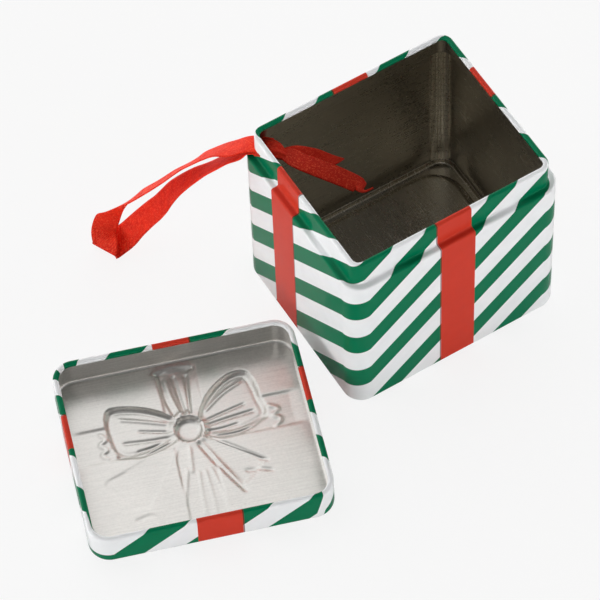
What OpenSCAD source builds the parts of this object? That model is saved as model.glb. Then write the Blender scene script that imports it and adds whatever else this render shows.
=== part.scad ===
// Gift tin: a small rectangular tinplate box, shown open, with its lift-off lid
// lying beside it upside down on the bow that is pressed into its panel, and a
// satin ribbon loop that hangs from a slot in the neck.
// Origin: middle of the tin's foot. +Z up, the wide front side faces -Y.

/* [Tin body] */
// Outside width of the body, along X
body_w = 65; // [56:1:100]
// Outside depth of the body, along Y
body_d = 56; // [50:1:90]
// Height from the foot to the top of the rolled rim
body_h = 62; // [50:1:90]
// Outside radius of the upright corners
corner_r = 5.4; // [5:0.1:8]
// Thickness of the tinplate
sheet_t = 0.3; // [0.2:0.05:0.4]

/* [Neck and rim] */
// Height of the neck, from the foot of the shoulder to the top of the rim
neck_h = 8.7; // [8:0.1:12]
// How far the neck stands in from the body's face
neck_in = 2.1; // [1.6:0.1:2.6]
// Height of the shoulder's double bend
shoulder_h = 1.3; // [1:0.1:1.5]
// Outside diameter of the rolled rim
rim_curl_d = 1.5; // [1.2:0.1:2]

/* [Foot and base] */
// Width of the flange that turns in under the base
foot_flange = 3.2; // [2.6:0.1:3.6]
// Outside radius where the wall turns into the flange
foot_r = 0.8; // [0.6:0.1:1]
// Height of the base plate's upturned lip
base_lip = 2.2; // [1.8:0.1:3]
// Width of the flat floor of the groove round the base panel
base_groove = 1; // [0.8:0.1:1.6]
// Rise of the base panel above the groove
base_rise = 1.6; // [1.2:0.1:2]
// Radius of the base panel's corners at the foot of its rise
panel_r = 10; // [8:0.5:14]
// Clearance between the base plate's lip and the wall
base_gap = 0.05; // [0.02:0.01:0.1]

/* [Side seam] */
// Width of the lock seam on the inside of the back right corner
seam_w = 5.7; // [4:0.1:6]
// Number of upright ribs in the seam
seam_ribs = 4; // [3:1:5]
// Turn of the seam round its corner, from facing +X, degrees
seam_turn = 62; // [45:1:66]

/* [Ribbon slot] */
// Width of the slot in the neck's back left corner
slot_w = 6.5; // [6.3:0.1:6.7]
// Height of the slot
slot_h = 2; // [1.8:0.1:2.1]
// Height of the slot's middle below the top of the rim
slot_drop = 6; // [4:0.1:6.1]

/* [Lid] */
// How far the lid stands out past the body on each side
lid_over = 0.4; // [0.2:0.1:1]
// Clear height over the tin's rim when the lid is closed and rests on the shoulder
lid_head = 2.5; // [0.5:0.1:3.5]
// Outside radius between the lid's panel and its skirt
lid_edge_r = 1.2; // [0.8:0.1:1.6]
// Outside diameter of the lid's rolled rim
lid_curl_d = 1.6; // [1.3:0.1:1.8]

/* [Pressed bow] */
// Height of the pressed bow's knot above the lid's panel
bow_h = 1.8; // [1.4:0.1:2.6]
// Reach of each loop of the bow from the middle of the knot
bow_reach = 21.5; // [18:0.5:22.5]
// Radius of the knot
knot_r = 3.7; // [3:0.1:4.5]
// Distance of the knot behind the panel's middle
knot_back = 6.6; // [4:0.1:8]
// Width of the ribbon bands that cross at the knot
band_w = 10.4; // [8:0.1:12]

/* [Resting place of the lid] */
// Gap between the tin and the nearest corner of the lid that lies beside it
lid_gap = 4.7; // [3:0.1:30]
// How far the lid's middle lies in front of the tin's middle
lid_front = 17.1; // [0:0.1:20]
// Turn of the lid about the upright axis, degrees
lid_turn = 18.7; // [0:0.1:30]

/* [Ribbon] */
// Width of the satin ribbon
ribbon_w = 7; // [6:0.1:7]
// Thickness of the ribbon
ribbon_t = 0.4; // [0.3:0.05:0.5]

/* [Hidden] */
// Steps along a quarter bend of the sheet
bend_steps = 5;
// Overrun of the cuts
overrun = 1;

// Points of an arc about c, from angle a to angle b
function arc(c, r, a, b, n = bend_steps) =
    [for (i = [0:n]) let (g = a + (b - a) * i / n) c + r * [cos(g), sin(g)]];
function reversed(p) = [for (i = [len(p) - 1:-1:0]) p[i]];
function unit(v) = v / norm(v);
function clamped(v) = max(0, min(1, v));

// Sweeps a profile round a rounded rectangle as four bends and four flat sides.
// Its points are [distance in from the outside face, height].
module around(w, d, r, profile) {
    for (half = [0, 180], quarter = [0, 90])
        rotate([0, 0, half + quarter]) {
            along = quarter == 0 ? w : d;
            across = quarter == 0 ? d : w;
            translate([along / 2 - r, across / 2 - r, 0])
                rotate_extrude(angle = 90, $fn = 64)
                    polygon([for (p = profile) [r - p[0], p[1]]]);
            translate([along / 2, across / 2 - r, 0])
                rotate([90, 0, 0])
                    linear_extrude(across - 2 * r)
                        polygon([for (p = profile) [-p[0], p[1]]]);
        }
}

module rounded_plate(w, d, r, t) {
    linear_extrude(t) {
        square([w - 2 * r, d], center = true);
        square([w, d - 2 * r], center = true);
        for (x = [-1, 1], y = [-1, 1])
            translate([x * (w / 2 - r), y * (d / 2 - r)])
                circle(r, $fn = 64);
    }
}

// The wall's flange, side, shoulder, neck and rolled rim, as the face at depth o of its sheet
shoulder_r = shoulder_h / 2;
shoulder_z = body_h - neck_h;
rim_r = rim_curl_d / 2;
function wall_face(o) = concat(
    [[foot_flange, o]],
    arc([foot_r, foot_r], foot_r - o, 270, 180),
    arc([shoulder_r, shoulder_z], shoulder_r - o, 180, 90),
    arc([neck_in - shoulder_r, shoulder_z + shoulder_h], shoulder_r + o, 270, 360),
    arc([neck_in + rim_r, body_h - rim_r], rim_r - o, 180, -90, 3 * bend_steps));

// Lock seam: two folds of the sheet and the ribs rolled into them
seam_r = corner_r - sheet_t;
seam_foot = 2 * sheet_t + base_lip;
seam_top = shoulder_z - sheet_t;
// Width of the inner fold as a share of the seam
seam_fold_share = 0.72;

// One fold, w wide, that stands n sheets in from the wall
module seam_fold(w, n) {
    half = w / seam_r * 90 / PI;
    polygon(concat(
        arc([0, 0], seam_r + sheet_t / 2, seam_turn - half, seam_turn + half, 2 * bend_steps),
        arc([0, 0], seam_r - n * sheet_t, seam_turn + half, seam_turn - half, 2 * bend_steps)));
}

module seam() {
    fold_w = seam_w * seam_fold_share;
    pitch = fold_w / seam_r * 180 / PI / (seam_ribs + 1);
    translate([body_w / 2 - corner_r, body_d / 2 - corner_r, seam_foot])
        linear_extrude(seam_top - seam_foot) {
            seam_fold(seam_w, 1);
            seam_fold(fold_w, 2);
            for (i = [1:seam_ribs])
                rotate(seam_turn + pitch * (i - (seam_ribs + 1) / 2))
                    translate([seam_r - 2 * sheet_t, 0])
                        circle(sheet_t, $fn = 16);
        }
}

// Slit where the seam runs out through the rolled rim
module rim_slit() {
    translate([body_w / 2 - corner_r, body_d / 2 - corner_r, body_h - rim_curl_d - sheet_t])
        rotate([0, 0, seam_turn])
            translate([0, -sheet_t, 0])
                cube([corner_r, 2 * sheet_t, rim_curl_d + sheet_t + overrun]);
}

// Slot with round ends through the neck's back left corner
slot_z = body_h - slot_drop;
module ribbon_slot() {
    translate([corner_r - body_w / 2, body_d / 2 - corner_r, slot_z])
        rotate([90, 0, 45])
            translate([0, 0, -corner_r - overrun])
                linear_extrude(corner_r + overrun) {
                    square([slot_w - slot_h, slot_h], center = true);
                    for (x = [-1, 1])
                        translate([x * (slot_w - slot_h) / 2, 0])
                            circle(slot_h / 2, $fn = 24);
                }
}

module tin_wall() {
    color([0.80, 0.20, 0.16])
        difference() {
            union() {
                around(body_w, body_d, corner_r, concat(wall_face(0), reversed(wall_face(sheet_t))));
                seam();
            }
            rim_slit();
            ribbon_slot();
        }
}

// The base's upturned lip and the start of its floor, as the face at depth o of its sheet
lip_in = sheet_t + base_gap;
floor_in = lip_in + foot_r;
function lip_face(o) = concat(
    [[lip_in + o, sheet_t + base_lip]],
    arc([floor_in, sheet_t + foot_r], foot_r - o, 180, 270),
    [[floor_in + sheet_t, sheet_t + o]]);

// The step up from the floor to the panel, which rises at 45 degrees between two bends
step_r = 2 * sheet_t;
panel_edge_r = 4 * sheet_t;
step_in = floor_in + base_groove - sheet_t;
panel_z = sheet_t + base_rise;
panel_in = sheet_t + base_rise + (step_r + sheet_t + panel_edge_r) * (sqrt(2) - 1);
function step_face(o) = concat(
    [[0, sheet_t + o]],
    arc([sheet_t, 2 * sheet_t + step_r], step_r + sheet_t - o, 270, 315),
    arc([panel_in, panel_z - panel_edge_r], panel_edge_r + o, 135, 90),
    [[panel_in + sheet_t, panel_z + o]]);

// A flat part of the base laps what it joins by this width
base_lap = sheet_t / 2;
module tin_base() {
    step_w = body_w - 2 * step_in;
    step_d = body_d - 2 * step_in;
    floor_edge = floor_in + base_lap;
    panel_edge = panel_in + base_lap;
    color([0.62, 0.58, 0.50]) {
        around(body_w, body_d, corner_r, concat(lip_face(0), reversed(lip_face(sheet_t))));
        translate([0, 0, sheet_t])
            difference() {
                rounded_plate(body_w - 2 * floor_edge, body_d - 2 * floor_edge,
                    corner_r - floor_edge, sheet_t);
                translate([0, 0, -overrun])
                    rounded_plate(step_w - 2 * base_lap, step_d - 2 * base_lap,
                        panel_r - base_lap, sheet_t + 2 * overrun);
            }
        around(step_w, step_d, panel_r, concat(step_face(0), reversed(step_face(sheet_t))));
        translate([0, 0, panel_z])
            rounded_plate(step_w - 2 * panel_edge, step_d - 2 * panel_edge,
                panel_r - panel_edge, sheet_t);
    }
}

// Lid. Its panel lies below and its skirt rises, as it lies beside the tin.
lid_w = body_w + 2 * lid_over;
lid_d = body_d + 2 * lid_over;
lid_r = corner_r + lid_over;
lid_curl_r = lid_curl_d / 2;
// Height from the panel's outside face to the end of the rolled rim
lid_h = neck_h - shoulder_r + sheet_t + lid_head;
// Steps round each bend, corner and side of the lid, and rings across its panel
lid_bend_steps = 4;
lid_corner_steps = 6;
lid_side_steps = 20;
lid_rings = 16;

// The lid's edge, skirt and rolled rim, as the face at depth o of its sheet
function lid_face(o) = concat(
    arc([lid_edge_r, lid_edge_r], lid_edge_r - o, 270, 180, lid_bend_steps),
    arc([lid_curl_r, lid_h - lid_curl_r], lid_curl_r - o, 180, -90, 2 * lid_bend_steps));

// Points round the lid at a distance in from its outside face
function lid_outline(inset) = [
    for (q = [0:3])
        let (a = 90 * q,
             flip = q % 2 == 0 ? [lid_w, lid_d] : [lid_d, lid_w],
             c = [flip[0] / 2 - lid_r, flip[1] / 2 - lid_r],
             d = [flip[1] / 2 - lid_r, flip[0] / 2 - lid_r])
            each concat(
                [for (i = [0:lid_corner_steps])
                    let (g = 90 * i / lid_corner_steps)
                        turned(c + (lid_r - inset) * [cos(g), sin(g)], a)],
                [for (i = [1:lid_side_steps - 1])
                    let (s = i / lid_side_steps)
                        turned([c[0] * (1 - s) - d[1] * s, c[1] + lid_r - inset], a)])];
function turned(p, a) = [p[0] * cos(a) - p[1] * sin(a), p[0] * sin(a) + p[1] * cos(a)];

// Outlines of the bow seen on the lid's inside, as shares of bow_reach from the knot
left_loop_share = [[-0.10, 0.15], [-0.30, 0.33], [-0.58, 0.46], [-0.88, 0.50], [-0.99, 0.38],
    [-1.00, 0.14], [-0.93, -0.17], [-0.63, -0.23], [-0.30, -0.13], [-0.15, -0.10]];
right_loop_share = [[0.17, 0.20], [0.35, 0.47], [0.60, 0.65], [0.82, 0.67], [0.92, 0.53],
    [0.96, 0.27], [0.99, 0.00], [0.68, -0.14], [0.39, -0.16], [0.15, -0.10]];
tab_share = [[-0.25, 0.90], [0.19, 0.88], [0.07, 0.26], [-0.14, 0.22]];
left_tail_share = [[-0.15, -0.13], [-0.90, -0.42], [-1.19, -0.54], [-0.93, -0.78], [-0.71, -1.05],
    [-0.20, -0.28]];
right_tail_share = [[0.10, -0.22], [0.49, -0.97], [0.66, -0.84], [0.83, -0.64], [0.16, -0.15]];
// Heights as shares of bow_h, and width of the rising edges as a share of bow_reach
loop_share = 0.72;
tab_rise_share = 0.50;
tail_rise_share = 0.42;
band_rise_share = 0.14;
edge_share = 0.11;

function edge_distance(p, a, b) =
    let (t = clamped(((p - a) * (b - a)) / ((b - a) * (b - a)))) norm(p - a - t * (b - a));
function holds(p, a, b) =
    (a[1] > p[1]) != (b[1] > p[1]) && p[0] < (b[0] - a[0]) * (p[1] - a[1]) / (b[1] - a[1]) + a[0];
// How far p lies inside a closed outline, as a share of the rising edge's width
function cover(p, outline) =
    let (n = len(outline),
         edges = [for (i = [0:n - 1]) [outline[i], outline[(i + 1) % n]]],
         inside = len([for (e = edges) if (holds(p, e[0], e[1])) 1]) % 2 == 1)
        inside ? clamped(min([for (e = edges) edge_distance(p, e[0], e[1])]) / edge_share) : 0;
function swell(c) = sqrt(1 - (1 - c) * (1 - c));

// Height of the pressed bow at a place on the panel
function relief(x, y) =
    let (p = [x, y - knot_back] / bow_reach,
         band = abs(x) < band_w / 2 || abs(y - knot_back) < band_w / 2 ? band_rise_share : 0)
        bow_h * max(
            band,
            loop_share * swell(max(cover(p, left_loop_share), cover(p, right_loop_share))),
            tab_rise_share * swell(cover(p, tab_share)),
            tail_rise_share * swell(max(cover(p, left_tail_share), cover(p, right_tail_share))),
            swell(clamped(2 - 2 * norm([x, y - knot_back]) / knot_r)));

module lid() {
    edge = lid_outline(lid_edge_r);
    n = len(edge);
    knot = [0, knot_back];
    face = concat(lid_face(0), reversed(lid_face(sheet_t)));
    panel = [for (j = [1:lid_rings - 1]) [for (p = edge) let (q = knot + (p - knot) * j / lid_rings)
        [q[0], q[1], bow_h - relief(q[0], q[1])]]];
    rings = concat(
        panel,
        [for (f = face) [for (p = lid_outline(f[0])) [p[0], p[1], bow_h + f[1]]]],
        [for (ring = reversed(panel)) [for (p = ring) p + [0, 0, sheet_t]]]);
    last = len(rings) * n;
    points = concat([for (ring = rings) each ring],
        [for (up = [0, sheet_t]) [0, knot_back, bow_h - relief(0, knot_back) + up]]);
    walls = [for (j = [0:len(rings) - 2], k = [0:n - 1])
        let (a = j * n + k, b = j * n + (k + 1) % n)
            each [[a, a + n, b + n], [a, b + n, b]]];
    ends = [for (k = [0:n - 1])
        let (next = (k + 1) % n)
            each [[last, k, next], [last - n + k, last + 1, last - n + next]]];
    reach = (lid_w / 2 - lid_r) * cos(lid_turn) + (lid_d / 2 - lid_r) * sin(lid_turn) + lid_r;
    color([0.78, 0.78, 0.76])
        translate([-body_w / 2 - lid_gap - reach, -lid_front, 0])
            rotate([0, 0, -lid_turn])
                polyhedron(points, concat(walls, ends), convexity = 6);
}

// Ribbon. Places are [out, along, up]: out of the corner that holds the slot, along the slot
// and above the foot, then the twist from lying flat in degrees and the share of the full width.
// Their heights stretch with the slot's height, and are as written where it is route_slot_z.
route_slot_z = 56;
loop_route = [
    [-4.5, 0, 55.7, 0, 0.8], [1.2, 0, 55.2, 0, 0.8], [3.2, -1, 53.2, 8, 0.87], [6, -1, 50.4, 16, 0.94],
    [9, -1.2, 47.2, 17, 1], [12, -1.2, 43.8, 16, 1], [15, -1.2, 40.2, 12, 1], [18, -1, 36.5, 7, 1],
    [21, -1, 32.4, 2, 1], [24, -1, 27.5, -3, 1], [26, -1.2, 23.5, -6, 1], [28, -1.5, 19.5, -8, 1],
    [30, -1.8, 15.6, -10, 1], [32, -2, 12.2, -12, 1], [34, -2.2, 9, -14, 1], [36, -2.4, 6.2, -14, 1],
    [38, -2.2, 4, -12, 1], [40.5, -2, 2, -9, 1], [42, -3.5, 1.2, -2, 1], [42.5, -6, 1.2, 9, 1],
    [43.2, -8, 1.8, 19, 1], [44, -8, 3.6, 25, 1], [44.5, -5.5, 6.6, 27, 1], [43, -3.7, 9.2, 24, 1],
    [40, -2.3, 13, 10, 1], [38.2, -1.5, 16.4, -6, 1], [36.8, -1.3, 19.3, -19, 1], [34, -1.2, 23, -25, 1],
    [29, -0.8, 28.7, -24, 1], [24.5, -0.2, 34, -24, 1], [21, 0.2, 38, -29, 1], [18.5, 0.4, 41, -30, 1],
    [16, 0.4, 44.2, -26, 1], [13, 0.4, 47.3, -26, 1], [9.5, 0.3, 50.5, -24, 1], [6, -0.3, 53, -12, 0.94],
    [1.2, 0, 56, -4, 0.8], [-4.5, 0, 56.4, 0, 0.8]];
left_tail_route = [
    [-8, 0, 56.6, 0, 0.5], [-11, 0.8, 56.6, 5, 0.7], [-14.5, 1.8, 55.6, 10, 0.9],
    [-17.5, 2.8, 53.6, 10, 0.9], [-20.5, 3.6, 51.4, 10, 0.9]];
right_tail_route = [
    [-8, 0, 55.6, 0, 0.5], [-11, 0, 54.6, 0, 0.7], [-14.5, 0, 52.8, 0, 0.9], [-17.5, 0.2, 50.8, 0, 0.9],
    [-20.5, 0.5, 48.8, 0, 0.9], [-24, 0.8, 46.8, 0, 0.9], [-27.3, 1.2, 45, 0, 0.9]];

slot_at = [corner_r - body_w / 2, body_d / 2 - corner_r, 0] + (corner_r - neck_in) / sqrt(2) * [-1, 1, 0];
function place(p) = slot_at + [p[1] - p[0], p[1] + p[0], 0] / sqrt(2) + [0, 0, p[2] * slot_z / route_slot_z];

// The ribbon's section at row i of a route: eight places round its edge
function section(route, i) =
    let (n = len(route),
         tangent = unit(place(route[min(i + 1, n - 1)]) - place(route[max(i - 1, 0)])),
         slot_way = [1, 1, 0] / sqrt(2),
         flat = unit(slot_way - (slot_way * tangent) * tangent),
         upright = cross(tangent, flat),
         twist = route[i][3],
         wide = flat * cos(twist) + upright * sin(twist),
         thick = cross(tangent, wide) * ribbon_t / 2,
         half = route[i][4] * ribbon_w / 2,
         inner = half - ribbon_t / 2)
        [for (s = [[half, 0], [inner, 1], [0, 1], [-inner, 1],
                   [-half, 0], [-inner, -1], [0, -1], [inner, -1]])
            place(route[i]) + s[0] * wide + s[1] * thick];

module ribbon(route) {
    n = len(route);
    walls = [for (i = [0:n - 2], k = [0:7])
        let (a = i * 8 + k, b = i * 8 + (k + 1) % 8)
            each [[a, a + 8, b + 8], [a, b + 8, b]]];
    ends = [for (k = [1:6]) each [[0, k, k + 1], [n * 8 - 8, n * 8 - 8 + k + 1, n * 8 - 8 + k]]];
    color([0.78, 0.08, 0.08])
        polyhedron([for (i = [0:n - 1]) each section(route, i)], concat(walls, ends), convexity = 6);
}

// Knot: a gathered roll of ribbon behind the slot, flat where the strands and the tails leave it
knot_face_r = loop_route[0][4] * ribbon_w / 2 + 2 * ribbon_t;
// Radius and distance from the tails' end, as shares of knot_face_r and of the knot's length
knot_shares = [[0, 0], [0.5, 0], [0.6, 0.25], [0.86, 0.55], [1, 0.8], [1, 1], [0, 1]];
knot_out = loop_route[0][0];
knot_in = left_tail_route[0][0];
knot_up = (loop_route[0][2] + loop_route[len(loop_route) - 1][2]) / 2;
module ribbon_knot() {
    long = knot_out - knot_in;
    color([0.70, 0.07, 0.07])
        translate(place([knot_in, 0, knot_up]))
            rotate([0, -90, -45])
                rotate_extrude($fn = 32)
                    polygon([for (s = knot_shares) [s[0] * knot_face_r, s[1] * long]]);
}

module ribbon_loop() { ribbon(loop_route); }
module ribbon_tail_left() { ribbon(left_tail_route); }
module ribbon_tail_right() { ribbon(right_tail_route); }

tin_wall();
tin_base();
lid();
ribbon_loop();
ribbon_knot();
ribbon_tail_left();
ribbon_tail_right();
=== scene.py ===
from math import cos, pi, radians, sin, sqrt

import bpy
import numpy as np
from mathutils import Matrix, Vector


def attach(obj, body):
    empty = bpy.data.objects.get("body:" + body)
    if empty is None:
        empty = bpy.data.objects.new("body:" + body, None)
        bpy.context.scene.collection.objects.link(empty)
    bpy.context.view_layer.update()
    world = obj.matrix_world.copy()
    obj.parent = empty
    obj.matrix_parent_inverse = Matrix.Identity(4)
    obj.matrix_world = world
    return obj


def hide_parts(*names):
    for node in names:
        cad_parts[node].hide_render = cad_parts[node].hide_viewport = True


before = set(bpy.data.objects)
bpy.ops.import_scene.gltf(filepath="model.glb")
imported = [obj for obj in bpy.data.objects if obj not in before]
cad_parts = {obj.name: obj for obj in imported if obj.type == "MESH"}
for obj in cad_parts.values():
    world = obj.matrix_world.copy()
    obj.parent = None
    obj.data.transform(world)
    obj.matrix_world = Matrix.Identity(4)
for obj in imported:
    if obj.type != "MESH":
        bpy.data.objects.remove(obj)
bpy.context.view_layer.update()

mm = 0.001  # every size below is in millimetres

# Camera, at the place and angle from which the photograph was taken
camera = {
    "place": (-333.2, -533.8, 955.7),
    "aim": (-33.3, -2.3, 20.0),
    "roll": 2.5,
    "lens": 252.2,
    "sensor": 36,
}


def addObject(name, data):
    thing = bpy.data.objects.new(name, data)
    bpy.context.scene.collection.objects.link(thing)
    return thing


def addCamera():
    data = bpy.data.cameras.new("photoCamera")
    data.lens = camera["lens"]
    data.sensor_width = camera["sensor"]
    data.clip_start = 10 * mm
    data.clip_end = 10
    eye = Vector(camera["place"]) * mm
    look = (Vector(camera["aim"]) * mm - eye).to_track_quat("-Z", "Y").to_matrix()
    turn = look @ Matrix.Rotation(radians(-camera["roll"]), 3, "Z")
    shot = addObject("photoCamera", data)
    shot.matrix_world = Matrix.Translation(eye) @ turn.to_4x4()
    bpy.context.scene.camera = shot


addCamera()
print("stage: camera set")


# Mesh helpers
def arc(centre, radius, start, end, steps):
    angles = np.radians(np.linspace(start, end, steps + 1))
    return np.array(centre) + radius * np.stack([np.cos(angles), np.sin(angles)], 1)


def unit(v):
    return v / np.linalg.norm(v, axis=-1, keepdims=True)


def spline(rows, t):
    # Place on the smooth curve between the middle two of four rows
    a, b, c, d = rows
    return 0.5 * (2 * b + (c - a) * t + (2 * a - 5 * b + 4 * c - d) * t ** 2
                  + (3 * b - a - 3 * c + d) * t ** 3)


def pathSteps(points):
    return np.linalg.norm(np.diff(points, axis=0), axis=1)


def loftRings(rings):
    # Quads between closed rings of points
    count = len(rings[0])
    spots = [(j * count + k, j * count + (k + 1) % count)
             for j in range(len(rings) - 1) for k in range(count)]
    return np.vstack(rings), [(a, b, b + count, a + count) for a, b in spots]


def capFaces(points, count):
    # Flat faces that close the first and the last ring
    return [tuple(range(count))[::-1], tuple(range(len(points) - count, len(points)))]


def makePiece(name, points, faces, body, *materials, uv=None, slots=None, smooth=True):
    mesh = bpy.data.meshes.new(name)
    mesh.from_pydata((np.asarray(points) * mm).tolist(), [], faces)
    if uv is not None:
        layer = mesh.uv_layers.new(name="print")
        layer.data.foreach_set("uv", (np.asarray(uv) * mm).ravel())
    if slots is not None:
        mesh.polygons.foreach_set("material_index", slots)
    mesh.polygons.foreach_set("use_smooth", [smooth] * len(mesh.polygons))
    mesh.update()
    for material in materials:
        mesh.materials.append(material)
    piece = addObject(name, mesh)
    piece["body"] = body
    return piece


def settle(piece, slotName, *nodes):
    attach(piece, piece["body"])
    if nodes:
        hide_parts(*nodes)


def applyModifiers(piece):
    view = bpy.context.evaluated_depsgraph_get()
    solid = bpy.data.meshes.new_from_object(
        piece.evaluated_get(view), preserve_all_data_layers=True, depsgraph=view)
    piece.modifiers.clear()
    piece.data = solid


# Node helpers
def newMaterial(name):
    material = bpy.data.materials.new(name)
    material.use_nodes = True
    return material, material.node_tree, material.node_tree.nodes["Principled BSDF"]


def wire(tree, socket, value):
    # Sets a socket from a number, a colour or another node's output
    if isinstance(value, (int, float)):
        socket.default_value = value
    elif isinstance(value, tuple):
        socket.default_value = (*value, 1)
    elif value is not None:
        tree.links.new(value, socket)


def addNode(tree, kind, *wires, **values):
    # A node with its first inputs wired, and its properties and other inputs set by name
    node = tree.nodes.new(kind)
    for socket, value in zip(node.inputs, wires):
        wire(tree, socket, value)
    for key, value in values.items():
        if hasattr(node, key):
            setattr(node, key, value)
        else:
            node.inputs[key].default_value = value
    return node


def calc(tree, operation, first, second=None):
    node = addNode(tree, "ShaderNodeMath", first, second)
    node.operation = operation
    return node.outputs[0]


def joined(tree, operation, fields):
    total = fields[0]
    for field in fields[1:]:
        total = calc(tree, operation, total, field)
    return total


def weighted(tree, *terms):
    # Sum of fields, each with its weight
    parts = [field if weight == 1 else calc(tree, "MULTIPLY", field, weight) for field, weight in terms]
    return joined(tree, "ADD", parts)


def separate(tree, vector):
    return addNode(tree, "ShaderNodeSeparateXYZ", vector).outputs


def noise(tree, vector, scale, detail, roughness=0.5):
    node = addNode(tree, "ShaderNodeTexNoise", vector, Scale=scale, Detail=detail, Roughness=roughness)
    return node.outputs[0]


def remap(tree, value, edges, results, smooth=False):
    node = addNode(tree, "ShaderNodeMapRange", value)
    if smooth:
        node.interpolation_type = "SMOOTHSTEP"
    for name, number in zip(("From Min", "From Max", "To Min", "To Max"), (*edges, *results)):
        node.inputs[name].default_value = number
    return node.outputs[0]


def band(tree, value, low, high, soft):
    # 1 between low and high, with soft edges
    up = remap(tree, value, (low - soft / 2, low + soft / 2), (0, 1))
    down = remap(tree, value, (high - soft / 2, high + soft / 2), (1, 0))
    return calc(tree, "MULTIPLY", up, down)


def mixColour(tree, share, first, second, blend="MIX"):
    node = addNode(tree, "ShaderNodeMix", data_type="RGBA", blend_type=blend)
    for index, value in ((0, share), (6, first), (7, second)):
        wire(tree, node.inputs[index], value)
    return node.outputs[2]


def addBump(tree, shader, height, strength, distance):
    bump = addNode(tree, "ShaderNodeBump", Strength=strength, Distance=distance * mm)
    wire(tree, bump.inputs["Height"], height)
    wire(tree, shader.inputs["Normal"], bump.outputs[0])


def setShader(tree, shader, **values):
    # Inputs of the surface shader, with spaces left out of their names
    for name, value in values.items():
        socket = next(socket for socket in shader.inputs if socket.name.replace(" ", "") == name)
        wire(tree, socket, value)


# Geometry Nodes helpers
def newGroup(name, output, *inputs):
    tree = bpy.data.node_groups.new(name, "GeometryNodeTree")
    for label, kind, value in inputs:
        socket = tree.interface.new_socket(name=label, in_out="INPUT", socket_type="NodeSocket" + kind)
        if value is not None:
            socket.default_value = value
    tree.interface.new_socket(name=output, in_out="OUTPUT", socket_type="NodeSocketGeometry")
    return tree, tree.nodes.new("NodeGroupInput").outputs


def setInput(modifier, name, value):
    for socket in modifier.node_group.interface.items_tree:
        if socket.name.replace(" ", "") == name and socket.in_out == "INPUT":
            modifier[socket.identifier] = value


def growPiece(name, points, edges, fields, tree, **values):
    # A piece of the tin that a tree makes from points with fields stored on them
    mesh = bpy.data.meshes.new(name)
    mesh.from_pydata((points * mm).tolist(), edges, [])
    for key, field in fields.items():
        kind, part = ("FLOAT_VECTOR", "vector") if field.ndim == 2 else ("FLOAT", "value")
        mesh.attributes.new(key, kind, "POINT").data.foreach_set(part, field.ravel())
    piece = addObject(name, mesh)
    piece["body"] = "tin"
    grow = piece.modifiers.new(tree.name, "NODES")
    grow.node_group = tree
    for key, value in values.items():
        setInput(grow, key, value)
    applyModifiers(piece)
    return piece


def smoothFaces(piece):
    piece.data.polygons.foreach_set("use_smooth", [True] * len(piece.data.polygons))


def addGrid(tree, rows, columns):
    # A grid whose points take their places from their own row and column
    grid = addNode(tree, "GeometryNodeMeshGrid")
    wire(tree, grid.inputs["Vertices X"], rows)
    wire(tree, grid.inputs["Vertices Y"], columns)
    index = addNode(tree, "GeometryNodeInputIndex").outputs[0]
    row = calc(tree, "FLOOR", calc(tree, "DIVIDE", index, columns))
    return grid, row, calc(tree, "SUBTRACT", index, calc(tree, "MULTIPLY", row, columns))


def stored(tree, name, kind="FLOAT_VECTOR"):
    node = tree.nodes.new("GeometryNodeInputNamedAttribute")
    node.data_type = kind
    node.inputs["Name"].default_value = name
    return node.outputs[0]


def sampled(tree, geometry, field, index, kind="FLOAT_VECTOR"):
    node = tree.nodes.new("GeometryNodeSampleIndex")
    node.data_type = kind
    node.domain = "POINT"
    for name, value in (("Geometry", geometry), ("Value", field), ("Index", index)):
        wire(tree, node.inputs[name], value)
    return node.outputs[0]


def keepField(tree, geometry, name, kind, domain, value):
    node = tree.nodes.new("GeometryNodeStoreNamedAttribute")
    node.data_type = kind
    node.domain = domain
    node.inputs["Name"].default_value = name
    wire(tree, node.inputs["Geometry"], geometry)
    wire(tree, node.inputs["Value"], value)
    return node.outputs[0]


def vectorCalc(tree, operation, first, second=None, scale=None):
    node = addNode(tree, "ShaderNodeVectorMath", first, second)
    node.operation = operation
    if scale is not None:
        wire(tree, node.inputs["Scale"], scale)
    return node.outputs[0]


def movePoints(tree, geometry, place):
    node = addNode(tree, "GeometryNodeSetPosition", geometry)
    wire(tree, node.inputs["Position"], place)
    return node.outputs[0]


def paintFaces(tree, geometry, material, chosen=None):
    node = addNode(tree, "GeometryNodeSetMaterial", geometry)
    wire(tree, node.inputs["Material"], material)
    wire(tree, node.inputs["Selection"], chosen)
    return node.outputs[0]


# Sizes shared with the CAD model
tin = {
    "width": 65, "depth": 56, "height": 62, "corner": 5.4, "sheet": 0.3,
    "neckHeight": 8.7, "neckIn": 2.1, "shoulder": 1.3, "rimCurl": 1.5,
    "flange": 3.2, "footRadius": 0.8, "cornerSteps": 24, "sideSteps": 12,
    "bendSteps": 8, "rimSteps": 24,
}

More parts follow.
